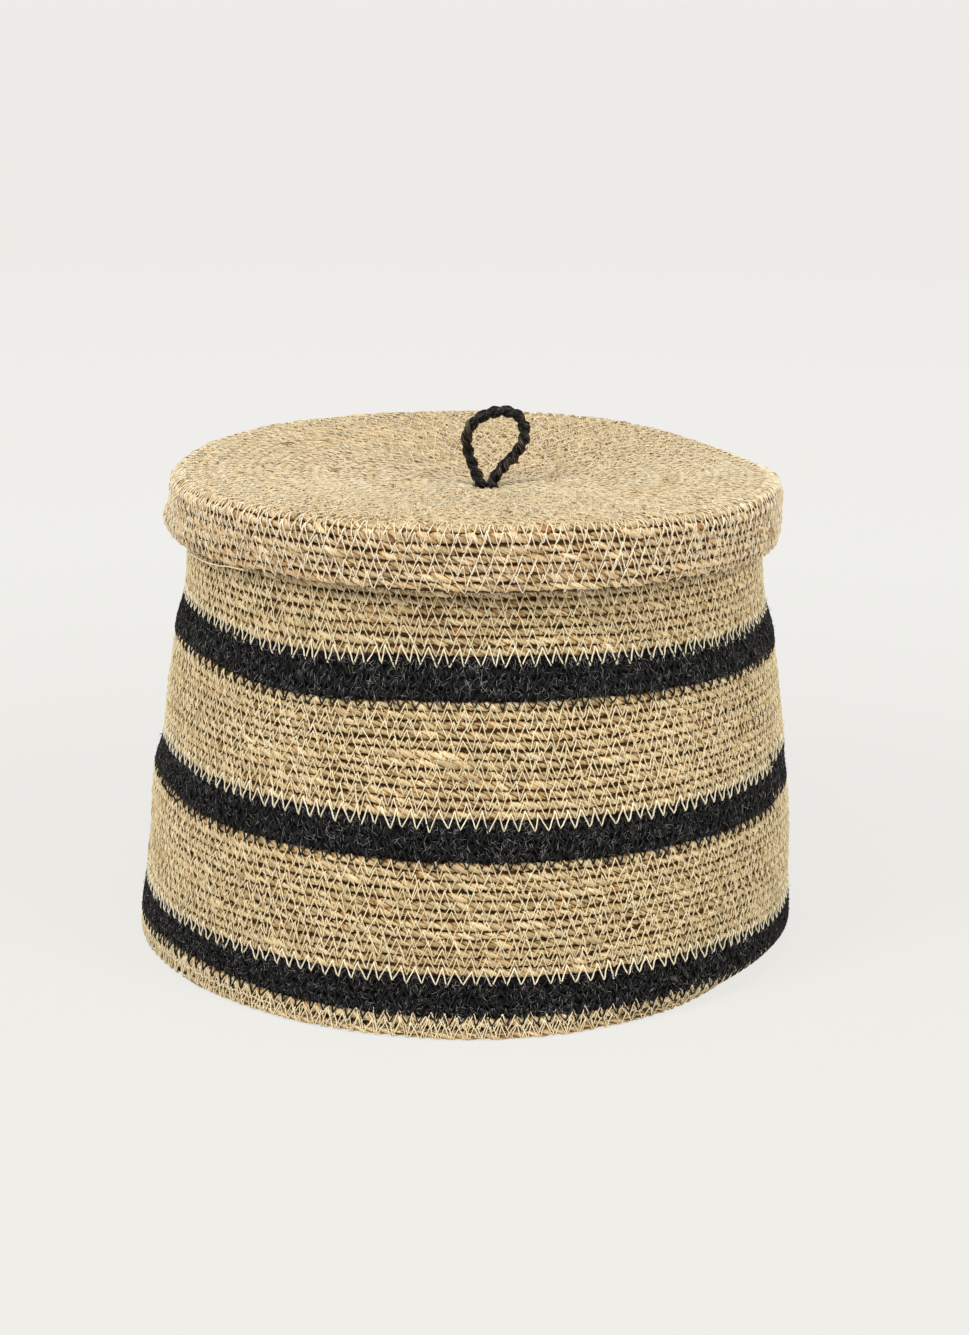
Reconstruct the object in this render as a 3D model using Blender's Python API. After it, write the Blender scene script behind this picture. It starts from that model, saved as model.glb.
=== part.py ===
"""Lidded basket of sewn seagrass braid, with three black bands and a cord loop on its lid.

Metres, +Z up. The origin is the middle of the flat underside. The braid climbs in one unbroken
spiral, clockwise seen from above, and each colour is a length of braid of its own. The cut ends
of two lengths butt together on the basket's right-hand side, so a band's edge steps there by
one turn. At the foot and at the rim the last turn tapers away, which leaves the edge level.
"""

import math

import bmesh
import bpy

# Braid
STEPS_PER_TURN = 32
NATURAL_PITCH = 0.0045
BLACK_PITCH = 0.0049
BRAID_THICKNESS = 0.0042
VALLEY_DEPTH = 0.0009
TAIL_HEIGHT = 0.0014

# Basket
BODY_RADIUS = 0.165
NECK_RADIUS = 0.146
TAPER_START_HEIGHT = 0.030
TAPER_END_HEIGHT = 0.220
BASE_THICKNESS = 0.0042
BASE_EDGE_RADIUS = 0.0020
SEAM_GAP = 0.0003
JOIN_ANGLE = 0.0
FOOT_TURNS = 1.625
BLACK_TURNS = 4.0
NATURAL_TURNS = 12.0
NECK_TURNS = 12.75

# Lid
LID_THICKNESS = 0.0045
LID_SEAT_GAP = 0.0003
LID_SIDE_CLEARANCE = 0.0036
SHOULDER_RADIUS = 0.0070
SKIRT_TURNS = 5.625
HEM_CURL = 0.0024
HEM_CURL_HEIGHT = 0.011
LID_DISH_DEPTH = 0.0095
DIMPLE_DEPTH = 0.0012
DIMPLE_RADIUS = 0.014

# Handle
CORD_RADIUS = 0.00275
LOOP_RADIUS = 0.01435
LOOP_CENTRE_HEIGHT = 0.025
LOOP_FOOT_SPACING = 0.0012
LOOP_LEAN = 0.17
PIVOT_CLEARANCE = 0.0006
STEM_CLEARANCE = 0.0003
KNOT_TURNS = 2

# Fineness of the turned and bent pieces
TURNED_STEPS = 40
KNOT_STEPS = 20
DISH_RINGS = 6
CORD_SIDES = 10

NATURAL_COLOUR = (0.52, 0.39, 0.215)
BLACK_COLOUR = (0.018, 0.019, 0.022)
BRAID_ROUGHNESS = 0.85
CORD_COLOUR = (0.022, 0.021, 0.021)
CORD_ROUGHNESS = 0.45


def clear_scene():
    for old in list(bpy.data.objects):
        bpy.data.objects.remove(old)


def material(name, colour, roughness):
    made = bpy.data.materials.new(name)
    made.use_nodes = True
    shader = made.node_tree.nodes["Principled BSDF"]
    shader.inputs["Base Color"].default_value = (*colour, 1.0)
    shader.inputs["Roughness"].default_value = roughness
    shader.inputs["Metallic"].default_value = 0.0
    return made


def add_object(name, shape, look, parent=None):
    """Turns a bmesh into an object that keeps its place under its parent."""
    mesh = bpy.data.meshes.new(name)
    bmesh.ops.recalc_face_normals(shape, faces=shape.faces)
    shape.to_mesh(mesh)
    shape.free()
    mesh.shade_smooth()
    mesh.set_sharp_from_angle(angle=math.radians(50))
    mesh.materials.append(look)
    made = bpy.data.objects.new(name, mesh)
    bpy.context.collection.objects.link(made)
    if parent:
        mesh.transform(parent.matrix_world.inverted())
        made.parent = parent
    return made


def add_pivot(name, height, parent=None):
    pivot = bpy.data.objects.new(name, None)
    bpy.context.collection.objects.link(pivot)
    base_height = parent.matrix_world.translation.z if parent else 0.0
    pivot.parent = parent
    pivot.location.z = height - base_height
    bpy.context.view_layer.update()
    return pivot


# Spiral braid


class Spiral:
    """A wall of braid that climbs from foot_height, one pitch for each turn.

    lengths lists (turns, pitch) for each length of braid, from the bottom up. A place along the
    braid is counted in steps, STEPS_PER_TURN to the turn.
    """

    def __init__(self, foot_height, lengths, radius_at, thickness, zero_angle):
        self.foot_height = foot_height
        self.steps = [round(turns * STEPS_PER_TURN) for turns, _ in lengths]
        self.pitches = [pitch for _, pitch in lengths]
        self.radius_at = radius_at
        self.thickness = thickness
        self.zero_angle = zero_angle
        self.last_step = sum(self.steps)
        self.rim_height = foot_height + 2 * TAIL_HEIGHT + self.climb(self.last_step - STEPS_PER_TURN)

    def climb(self, step):
        """How far the braid has climbed after this many steps."""
        height = 0.0
        for count, pitch in zip(self.steps, self.pitches):
            part = min(max(step, 0), count)
            height += part * pitch / STEPS_PER_TURN
            step -= part
        return height

    def edge_height(self, step):
        """Height of the braid's lower edge, which is the upper edge of the turn below."""
        past_first_turn = step - STEPS_PER_TURN
        if past_first_turn < 0:
            return self.foot_height + TAIL_HEIGHT * (step / STEPS_PER_TURN) ** 3
        if step > self.last_step:
            left = 1 - (step - self.last_step) / STEPS_PER_TURN
            return self.rim_height - TAIL_HEIGHT * left**3
        return self.foot_height + TAIL_HEIGHT + self.climb(past_first_turn)

    def angle(self, step, shift=0.0):
        """Shift moves a cut end along the braid, in metres."""
        return self.zero_angle - math.tau * step / STEPS_PER_TURN - shift / BODY_RADIUS


def place(radius, angle, height):
    return (radius * math.cos(angle), radius * math.sin(angle), height)


def braid_length(spiral, first, last):
    """The closed solid of one length of braid, from one cut end to the other.

    The outside has a ridge along the middle of each turn and a valley where two turns meet. The
    inside is plain. Turns of one length share their valley, so the length is a single body.
    """
    shape = bmesh.new()
    turn = STEPS_PER_TURN
    half_gap = SEAM_GAP / 2
    count = last - first
    valley, inner, ridge = [], [], []

    def end_shift(step):
        if step in (0, turn):
            return half_gap
        if step in (count, count + turn):
            return -half_gap
        return 0.0

    def seam_shift(step):
        if first > 0 and step <= turn:
            return half_gap
        if first + count < spiral.last_step and step >= count:
            return -half_gap
        return 0.0

    for step in range(count + turn + 1):
        height = spiral.edge_height(first + step) + seam_shift(step)
        angle = spiral.angle(first + step, end_shift(step))
        radius = spiral.radius_at(height)
        valley.append(shape.verts.new(place(radius - VALLEY_DEPTH, angle, height)))
        inner.append(shape.verts.new(place(radius - spiral.thickness, angle, height)))
    for step in range(count + 1):
        height = (valley[step].co.z + valley[step + turn].co.z) / 2
        angle = spiral.angle(first + step, end_shift(step))
        ridge.append(shape.verts.new(place(spiral.radius_at(height), angle, height)))

    for step in range(count):
        ahead = step + 1
        shape.faces.new((valley[step], valley[ahead], ridge[ahead], ridge[step]))
        shape.faces.new((ridge[step], ridge[ahead], valley[ahead + turn], valley[step + turn]))
        shape.faces.new((inner[ahead], inner[step], inner[step + turn], inner[ahead + turn]))
    for step in range(turn):
        ahead = step + 1
        top, top_ahead = step + count, ahead + count
        shape.faces.new((valley[ahead], valley[step], inner[step], inner[ahead]))
        shape.faces.new((valley[top], valley[top_ahead], inner[top_ahead], inner[top]))
    for end in (0, count):
        rest = (inner[end + turn], inner[end])
        shape.faces.new((valley[end], ridge[end], valley[end + turn], *rest))
    return shape


def taper(height):
    """Outer radius of the basket, upright at the foot and at the neck, with a soft S between."""
    share = (height - TAPER_START_HEIGHT) / (TAPER_END_HEIGHT - TAPER_START_HEIGHT)
    share = min(max(share, 0.0), 1.0)
    ease = 0.5 - 0.5 * math.cos(math.pi * share)
    return BODY_RADIUS + (NECK_RADIUS - BODY_RADIUS) * ease


# Turned pieces


def turned(profile, steps=TURNED_STEPS):
    """Spins a closed (radius, height) outline round Z. Points on the axis become single points."""
    shape = bmesh.new()
    rings = []
    for radius, height in profile:
        if radius < 1e-6:
            rings.append([shape.verts.new((0.0, 0.0, height))] * steps)
            continue
        angles = [math.tau * step / steps for step in range(steps)]
        rings.append([shape.verts.new(place(radius, angle, height)) for angle in angles])
    for ring, following in zip(rings, rings[1:] + rings[:1]):
        for step in range(steps):
            ahead = (step + 1) % steps
            corners = (ring[step], ring[ahead], following[ahead], following[step])
            distinct = list(dict.fromkeys(corners))
            if len(distinct) > 2:
                shape.faces.new(distinct)
    return shape


def arc(centre_radius, centre_height, radius, start, stop, steps):
    """Points of an arc in the (radius, height) plane, with angles in degrees."""
    points = []
    for step in range(steps + 1):
        angle = math.radians(start + (stop - start) * step / steps)
        across = centre_radius + radius * math.cos(angle)
        points.append((across, centre_height + radius * math.sin(angle)))
    return points


def base_profile():
    edge = BASE_EDGE_RADIUS
    rim = BODY_RADIUS - edge
    profile = [(0.0, 0.0)]
    profile += arc(rim, edge, edge, -90, 0, 3)
    profile += arc(rim, BASE_THICKNESS - edge, edge, 0, 90, 3)
    return profile + [(0.0, BASE_THICKNESS)]


class LidShape:
    """Heights and radii of the lid, which follow from the rim that it sits on."""

    def __init__(self, rim_height):
        self.seat_height = rim_height + LID_SEAT_GAP
        self.top_height = self.seat_height + LID_THICKNESS
        self.inner_radius = NECK_RADIUS + LID_SIDE_CLEARANCE
        self.outer_radius = self.inner_radius + BRAID_THICKNESS
        self.shoulder_height = self.top_height - SHOULDER_RADIUS
        self.dish_radius = self.outer_radius - SHOULDER_RADIUS
        self.skirt_turns = round(SKIRT_TURNS * STEPS_PER_TURN) / STEPS_PER_TURN
        skirt_height = 2 * TAIL_HEIGHT + (self.skirt_turns - 1) * NATURAL_PITCH
        self.hem_height = self.shoulder_height - SEAM_GAP - skirt_height
        self.hole_radius = 2 * CORD_RADIUS - 0.0006
        self.pivot_height = self.surface(0.0) + CORD_RADIUS + PIVOT_CLEARANCE

    def surface(self, radius):
        """Height of the dished top, with a dimple where the cord pulls it down."""
        share = min(radius / self.dish_radius, 1.0)
        dish = LID_DISH_DEPTH * (0.5 + 0.5 * math.cos(math.pi * share))
        dimple = DIMPLE_DEPTH * max(0.0, 1.0 - radius / DIMPLE_RADIUS) ** 2
        return self.top_height - dish - dimple

    def skirt_radius(self, height):
        """Outer radius of the skirt, whose hem is drawn in towards the neck."""
        share = 1.0 - (height - self.hem_height) / HEM_CURL_HEIGHT
        return self.outer_radius - HEM_CURL * max(share, 0.0) ** 2

    def top_profile(self):
        reach = self.dish_radius - self.hole_radius
        radii = [self.hole_radius + reach * ring / DISH_RINGS for ring in range(DISH_RINGS)]
        dimple = (self.hole_radius + DIMPLE_RADIUS) / 2
        radii.insert(1, dimple)
        profile = [(radius, self.surface(radius)) for radius in radii]
        profile += arc(self.dish_radius, self.shoulder_height, SHOULDER_RADIUS, 90, 0, 4)
        profile.append((self.inner_radius, self.shoulder_height))
        profile.append((self.inner_radius, self.seat_height))
        seat_reach = self.dish_radius - BRAID_THICKNESS
        under = [radius for radius in radii if radius < seat_reach]
        profile += [(radius, self.surface(radius) - LID_THICKNESS) for radius in reversed(under)]
        return profile


def knot_profile(lid):
    """Stem through the lid's hole and the turns of the knot that stops it underneath."""
    stem_radius = lid.hole_radius - STEM_CLEARANCE
    stem_top = lid.pivot_height - CORD_RADIUS - SEAM_GAP
    knot_top = lid.surface(lid.hole_radius) - LID_THICKNESS - LID_SEAT_GAP
    profile = [(0.0, stem_top), (stem_radius, stem_top)]
    turn_pitch = 1.7 * CORD_RADIUS
    for turn in range(KNOT_TURNS):
        middle = knot_top - CORD_RADIUS - turn * turn_pitch
        profile += arc(stem_radius, middle, CORD_RADIUS, 58, -58, 4)
    profile[2:3] = [(stem_radius, knot_top), (stem_radius + CORD_RADIUS / 2, knot_top)]
    knot_foot = knot_top - 2 * CORD_RADIUS - (KNOT_TURNS - 1) * turn_pitch
    return profile + [(stem_radius * 0.8, knot_foot), (0.0, knot_foot)]


# Cord loop


def loop_path():
    """Middle line of the cord from its foot round the loop, as (across, up) from the pivot."""
    foot_bend = CORD_RADIUS * 1.06
    half_foot = LOOP_FOOT_SPACING / 2
    rise = LOOP_CENTRE_HEIGHT - foot_bend
    distance = math.hypot(half_foot, rise)
    leg = math.asin(-(LOOP_RADIUS - foot_bend) / distance) + math.atan2(half_foot, rise)
    leg = math.degrees(leg)
    right_foot = arc(half_foot, foot_bend, foot_bend, -90, leg, 3)
    crown = arc(0.0, LOOP_CENTRE_HEIGHT, LOOP_RADIUS, leg, 180 - leg, 16)
    left_foot = arc(-half_foot, foot_bend, foot_bend, 180 - leg, 270, 3)
    path = right_foot + leg_points(right_foot[-1], crown[0])
    path += crown + leg_points(crown[-1], left_foot[0]) + left_foot
    return [(across + LOOP_LEAN * up, up) for across, up in path]


def leg_points(start, stop):
    """Two points along a straight leg of the loop."""
    shares = (1 / 3, 2 / 3)
    return [tuple(a + (b - a) * share for a, b in zip(start, stop)) for share in shares]


def cord_ring(path, pivot_height):
    """A round cord bent along a closed path in the XZ plane."""
    shape = bmesh.new()
    rings = []
    for index, (across, up) in enumerate(path):
        before = path[index - 1]
        after = path[(index + 1) % len(path)]
        run, climb = after[0] - before[0], after[1] - before[1]
        length = math.hypot(run, climb)
        ring = []
        for side in range(CORD_SIDES):
            angle = math.tau * side / CORD_SIDES
            out = CORD_RADIUS * math.cos(angle)
            x = across + out * climb / length
            z = pivot_height + up - out * run / length
            ring.append(shape.verts.new((x, CORD_RADIUS * math.sin(angle), z)))
        rings.append(ring)
    for ring, following in zip(rings, rings[1:] + rings[:1]):
        for side in range(CORD_SIDES):
            ahead = (side + 1) % CORD_SIDES
            shape.faces.new((ring[side], ring[ahead], following[ahead], following[side]))
    return shape


# Assembly


def build_basket(natural, black):
    """The body of the basket. Returns the height of its rim."""
    add_object("base_disc", turned(base_profile()), natural)
    lengths = [
        ("foot_band", FOOT_TURNS, NATURAL_PITCH, natural),
        ("black_band_lower", BLACK_TURNS, BLACK_PITCH, black),
        ("natural_band_lower", NATURAL_TURNS, NATURAL_PITCH, natural),
        ("black_band_middle", BLACK_TURNS, BLACK_PITCH, black),
        ("natural_band_upper", NATURAL_TURNS, NATURAL_PITCH, natural),
        ("black_band_upper", BLACK_TURNS, BLACK_PITCH, black),
        ("neck_band", NECK_TURNS, NATURAL_PITCH, natural),
    ]
    foot_height = BASE_THICKNESS + SEAM_GAP
    turns = [(turns, pitch) for _, turns, pitch, _ in lengths]
    zero_angle = JOIN_ANGLE + math.tau * FOOT_TURNS
    wall = Spiral(foot_height, turns, taper, BRAID_THICKNESS, zero_angle)
    first = 0
    for (name, _, _, look), steps in zip(lengths, wall.steps):
        add_object(name, braid_length(wall, first, first + steps), look)
        first += steps
    return wall.rim_height


def build_lid(rim_height, natural, cord):
    lid = LidShape(rim_height)
    lift = add_pivot("lid_axis", lid.seat_height)
    add_object("lid_top", turned(lid.top_profile()), natural, lift)
    lengths = [(SKIRT_TURNS, NATURAL_PITCH)]
    skirt = Spiral(lid.hem_height, lengths, lid.skirt_radius, BRAID_THICKNESS, math.pi)
    add_object("lid_skirt", braid_length(skirt, 0, skirt.last_step), natural, lift)
    add_object("handle_knot", turned(knot_profile(lid), KNOT_STEPS), cord, lift)
    fold = add_pivot("handle_axis", lid.pivot_height, lift)
    add_object("handle_loop", cord_ring(loop_path(), lid.pivot_height), cord, fold)


def build():
    clear_scene()
    natural = material("natural_braid", NATURAL_COLOUR, BRAID_ROUGHNESS)
    black = material("black_braid", BLACK_COLOUR, BRAID_ROUGHNESS)
    cord = material("handle_cord", CORD_COLOUR, CORD_ROUGHNESS)
    rim_height = build_basket(natural, black)
    build_lid(rim_height, natural, cord)


build()
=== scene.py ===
"""Looks of a lidded basket: three-strand seagrass rope laid in spirals, and zigzag thread.

A last step warps the exact shape by a few millimetres, like a basket that was shaped by hand.
"""

import math

import bpy
import numpy as np
from mathutils import Matrix, Vector


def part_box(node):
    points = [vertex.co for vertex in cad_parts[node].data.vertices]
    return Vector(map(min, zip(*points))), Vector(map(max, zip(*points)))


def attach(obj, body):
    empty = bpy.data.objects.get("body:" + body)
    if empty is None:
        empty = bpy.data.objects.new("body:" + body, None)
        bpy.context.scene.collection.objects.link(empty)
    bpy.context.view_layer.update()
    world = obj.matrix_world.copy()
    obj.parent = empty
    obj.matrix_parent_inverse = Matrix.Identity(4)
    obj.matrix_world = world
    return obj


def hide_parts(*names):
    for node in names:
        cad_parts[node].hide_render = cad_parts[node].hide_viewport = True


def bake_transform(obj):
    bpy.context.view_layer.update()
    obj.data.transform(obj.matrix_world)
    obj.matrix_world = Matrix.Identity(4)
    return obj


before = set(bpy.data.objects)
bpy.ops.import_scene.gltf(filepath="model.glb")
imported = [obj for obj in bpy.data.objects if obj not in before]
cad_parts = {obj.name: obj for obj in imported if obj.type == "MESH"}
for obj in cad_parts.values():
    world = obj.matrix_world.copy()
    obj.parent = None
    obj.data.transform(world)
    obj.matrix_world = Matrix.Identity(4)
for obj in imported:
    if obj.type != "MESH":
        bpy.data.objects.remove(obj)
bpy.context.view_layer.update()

TAU = 2 * math.pi

# Photograph and camera
PHOTO_HEIGHT = 1335
FOCAL_PIXELS = 2940
SENSOR_SIZE = 36
CAMERA_PLACE = (0.0074, -1.4485, 0.5218)
CAMERA_TILT = math.radians(14.97)
CAMERA_ROLL = math.radians(0.8)

# Basket, from the CAD part
BODY_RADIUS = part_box("base_disc")[1].x
BASE_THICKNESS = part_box("base_disc")[1].z
WALL_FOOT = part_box("foot_band")[0].z
NECK_RADIUS = 0.146
TAPER_START_HEIGHT = 0.030
TAPER_END_HEIGHT = 0.220
NATURAL_PITCH = 0.0045
BLACK_PITCH = 0.0049
ROPE_THICKNESS = 0.0042
TAIL_HEIGHT = 0.0014
BASE_START = 0.0043
FOOT_TURNS = 1.625
BLACK_TURNS = 4
NATURAL_TURNS = 12
NECK_TURNS = 12.75

# The ends of the colours meet near the basket's right side, those of the middle band more in front
JOIN_ANGLE = math.radians(12)
MIDDLE_JOIN_AHEAD = 33.5 / 360

# Lengths of rope in the wall, from the foot up: (CAD node, turns)
WALL_LENGTHS = (
    ("foot_band", FOOT_TURNS),
    ("black_band_lower", BLACK_TURNS),
    ("natural_band_lower", NATURAL_TURNS + MIDDLE_JOIN_AHEAD),
    ("black_band_middle", BLACK_TURNS),
    ("natural_band_upper", NATURAL_TURNS - MIDDLE_JOIN_AHEAD),
    ("black_band_upper", BLACK_TURNS),
    ("neck_band", NECK_TURNS),
)

# Places where the wall stands in or out: (amount, azimuth, width, height, spread)
WALL_DENTS = (
    (-0.0021, -176, 30, 0.101, 0.015),
    (-0.0010, -176, 30, 0.056, 0.014),
    (-0.0012, -4, 30, 0.094, 0.012),
)

# Places where the rows of the wall run lower or higher, in the same form
ROW_BENDS = (
    (-0.0070, -125, 20, 0.165, 0.030),
    (-0.0042, -30, 28, 0.182, 0.030),
    (0.0048, -163, 16, 0.095, 0.042),
    (-0.0018, -180, 9, 0.110, 0.014),
    (0.0046, -180, 12, 0.078, 0.014),
    (0.0022, -180, 13, 0.148, 0.012),
    (-0.0018, -128, 24, 0.034, 0.020),
    (-0.0034, -20, 16, 0.034, 0.020),
    (0.0040, -146, 19, 0.012, 0.008),
)

# Lid, from the CAD part. Its rope ends at its left side
LID_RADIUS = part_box("lid_top")[1].x
LID_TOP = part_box("lid_top")[1].z
HEM_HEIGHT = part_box("lid_skirt")[0].z
LID_THICKNESS = 0.0045
SHOULDER_RADIUS = 0.0070
HEM_CURL = 0.0024
HEM_CURL_HEIGHT = 0.011
LID_DISH_DEPTH = 0.0095
DIMPLE_DEPTH = 0.0012
DIMPLE_RADIUS = 0.014
HOLE_RADIUS = 0.0049
HOLE_OVERLAP = 0.0006
SKIRT_TURNS = 6.6
LID_END_ANGLE = math.radians(-177)
LID_SHIFT = 0.0013

# Rope
ROPE_STEP = 0.0020
CORE_STEP = 0.0040
CORE_WIDTH_SHARE = 1.10
CORE_THICKNESS_SHARE = 0.30
STRANDS = 3
LAY_LENGTH = 0.020
LEAF_LENGTH = 0.085

# Where the corners of a strand stand across it, and how deep they lie in the groove beside it
CORNER_PLACES = (-0.5, -0.35, 0.0, 0.35)
CORNER_DEPTHS = (1.0, 0.22, 0.0, 0.22)
CORNERS = len(CORNER_PLACES)

# The strand, depth and angle of each side of the rope
ROPE_SIDES = STRANDS * CORNERS
SIDE_STRANDS = np.repeat(np.arange(STRANDS), CORNERS)
SIDE_DEPTHS = np.tile(CORNER_DEPTHS, STRANDS)
SIDE_ANGLES = TAU * (SIDE_STRANDS + np.tile(CORNER_PLACES, STRANDS) + 0.5) / STRANDS

# How unevenly the rope is laid, and how the painted shade of its seams changes: (amount, wavelength)
# of smooth random values along it
LAY_SWINGS = ((1.3, 0.05), (0.45, 0.014))
ROW_DRIFTS = ((0.00034, 0.03), (0.00030, 0.011))
OVERLAP_CHANGES = ((0.05, 0.011), (0.07, 0.024))
SEAM_SHADE_CHANGES = ((0.45, 0.007), (0.50, 0.022))

# Sewing thread
THREAD_RADIUS = 0.00029
STITCH_LENGTH = 0.0033
STITCH_REACH = 0.96
STITCH_DIP = 0.00055
STITCH_BOW = 0.00016
STITCH_MARGIN = 0.0003
HOLE_SCATTER = 0.0006
SEAM_SWAY = 0.0005

# How far the thread stands off the rope, in radii of thread
FLUSH = 0.4
RAISED = 1.5
SUNK = -1.2

# Points of a stitch from hole to hole: their shares of the way, and how deep they dive
OUTSIDE_STITCH = (0.0, 0.05, 0.22, 0.5, 0.78, 0.95, 1.0), (0.0012, 0.0001, 0, 0, 0, 0.0001, 0.0012)
INSIDE_STITCH = (0.0, 0.15, 0.5, 0.85, 1.0), (0.0014, 0.0002, 0, 0.0002, 0.0014)

# A length of at least this many turns has white thread over the band below it
LONG_TURNS = 10

# Extra seams round the foot: (number, first turn)
FOOT_SEAMS = ((2, 0.3), (3, 0.85))
FOOT_SEAM_TURNS = 1.1

# Long seams are sewn in two pieces, which meet at this share of their turns
SEAM_SPLIT = 0.7

# Fibres on the rope. loose is the share of them that stand off at one end
FUZZ = {"count": 5300, "size": 0.0034, "radius": 6.5e-5, "loose": 0.05}
HAIR = {"size": 0.003, "radius": 7e-5, "loose": 0.1}
HAIRS_PER_TURN = 40
LID_HAIRS = 600

# Turns into a black band at which loose ends stand off it
TUFTS = {"black_lower": (1.050, 2.050, 2.518), "black_middle": (3.426,), "black_upper": (3.053,)}
TUFT_SIZE = 0.0028
TUFT_RADIUS = 1.4e-4
TUFT_FIBRES = 9
CUT_END_FIBRES = 14

# Turns into a natural length at which a loop of its thread stands off it
LOOSE_LOOPS = {"natural_upper": 0.004, "neck": 0.066}
LOOSE_LOOP_SIZE = 0.0018

# The loose end of the thread at the lid's hem, by its place along the last turn
HEM_THREAD_SPAN = (0.055, 0.112)
HEM_THREAD_RADIUS = 0.00040

# Handle. Its lines are the cord's middle, (across, up) in millimetres from the handle's foot
HANDLE_PLACE = 0.0071
CORD_RADIUS = 0.0031
CORD_LAY = 0.0125
CORD_STEP = 0.0005
CORD_SIDES = 16
PLIES = 2
LOOP_SWAY = 0.0012
LOOP_LINE = (
    (-1.6, -14.0), (-1.9, -9.0), (-2.2, -4.0), (-2.9, 0.4), (-4.4, 4.3), (-6.2, 8.8), (-7.9, 13.2),
    (-9.2, 17.6), (-10.0, 22.3), (-9.7, 26.8), (-8.1, 30.8), (-5.2, 34.0), (-1.4, 36.3), (2.8, 38.1),
    (7.5, 38.8), (11.8, 38.0), (15.5, 36.0), (18.0, 31.9), (18.8, 27.0), (17.7, 22.2), (15.2, 17.8),
    (11.8, 13.8), (8.2, 10.1), (5.2, 6.0), (3.1, 2.0), (2.3, -4.0), (1.9, -9.0), (1.6, -14.0),
)
STUB_LINE = ((11.2, 15.0), (12.8, 13.9), (14.4, 13.3), (15.6, 13.6))
STUB_RADIUS = 0.0017

# Knot under the lid
KNOT_TURNS = 2
KNOT_RADIUS = 0.0034
KNOT_RIPPLE = 0.0004
KNOT_STRETCH = 1.25
KNOT_DEPTH = 0.0070
KNOT_HEIGHT = 0.0052
TAIL_DEPTH = 0.0112

# Studio. Lamps are (name, place, size, power, colour)
AIM = (0.0, 0.0, 0.12)
LAMPS = (
    ("key", (-1.32, -1.28, 1.7), 0.9, 35, (1.0, 0.965, 0.90)),
    ("fill", (1.55, -1.12, 1.5), 1.2, 28, (1.0, 0.965, 0.89)),
    ("top", (0.0, -0.3, 2.2), 1.3, 17, (1.0, 0.99, 0.98)),
)
BACKDROP = (0.871, 0.863, 0.831)
FAR_FLOOR = (0.855, 0.836, 0.806)
FLOOR_GLOW = 0.90
FLOOR_STRENGTH = 0.965
FLOOR_REACH = 20
FLOOR_DROP = 0.0002
SHADOW_START = 0.2
SHADOW_END = 0.9

# First seeds of the random draws
ROPE_SEED = 100
STITCH_SEED = 200
BASE_SEED = 300
LID_SEED = 400
FIBRE_SEED = 500
CORD_SEED = 600


def smooth(share):
    """Eases a share of 0 to 1, also in arrays."""
    share = np.clip(share, 0.0, 1.0)
    return share * share * (3.0 - 2.0 * share)


def running(steps):
    return np.append(0.0, np.cumsum(steps))


def unit(vectors):
    return vectors / np.linalg.norm(vectors, axis=-1, keepdims=True)


# Camera


def link(made):
    bpy.context.scene.collection.objects.link(made)
    return made


def add_camera():
    data = bpy.data.cameras.new("camera")
    data.sensor_width = SENSOR_SIZE
    data.lens = FOCAL_PIXELS * SENSOR_SIZE / PHOTO_HEIGHT
    data.clip_end = 50
    camera = link(bpy.data.objects.new("camera", data))
    look = Matrix.Rotation(math.pi / 2 - CAMERA_TILT, 4, "X") @ Matrix.Rotation(CAMERA_ROLL, 4, "Z")
    camera.matrix_world = Matrix.Translation(CAMERA_PLACE) @ look
    bpy.context.scene.camera = camera


add_camera()


# Shape


def taper(height):
    """Outer radius of the basket's wall."""
    share = (height - TAPER_START_HEIGHT) / (TAPER_END_HEIGHT - TAPER_START_HEIGHT)
    ease = 0.5 - 0.5 * np.cos(np.pi * np.clip(share, 0.0, 1.0))
    return BODY_RADIUS + (NECK_RADIUS - BODY_RADIUS) * ease


def lid_surface(radius):
    """Height of the lid's dished top."""
    share = np.minimum(radius / (LID_RADIUS - SHOULDER_RADIUS), 1.0)
    dish = LID_DISH_DEPTH * (0.5 + 0.5 * np.cos(np.pi * share))
    dimple = DIMPLE_DEPTH * np.maximum(0.0, 1.0 - radius / DIMPLE_RADIUS) ** 2
    return LID_TOP - dish - dimple


class Profile:
    """The line in radius and height that the rows of rope follow. place measures along it.

    side is 1 where the outside lies to its right, and -1 where it lies to its left.
    """

    def __init__(self, place, radius, height, side):
        self.place, self.radius, self.height, self.side = place, radius, height, side
        run, climb = np.gradient(radius, place), np.gradient(height, place)
        length = np.hypot(run, climb)
        self.out_radius, self.out_height = side * climb / length, -side * run / length

    def at(self, place, out):
        """(radius, height) of points at this place, moved outwards by out."""
        radius = np.interp(place, self.place, self.radius)
        height = np.interp(place, self.place, self.height)
        radius = radius + out * np.interp(place, self.place, self.out_radius)
        height = height + out * np.interp(place, self.place, self.out_height)
        return radius, height


def wall_profile():
    height = np.linspace(0.0, LID_TOP, 400)
    return Profile(height, taper(height) - ROPE_THICKNESS / 2, height, 1)


def base_profile():
    radius = np.linspace(-0.005, BODY_RADIUS, 400)
    return Profile(radius, radius, np.full_like(radius, BASE_THICKNESS / 2), 1)


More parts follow.
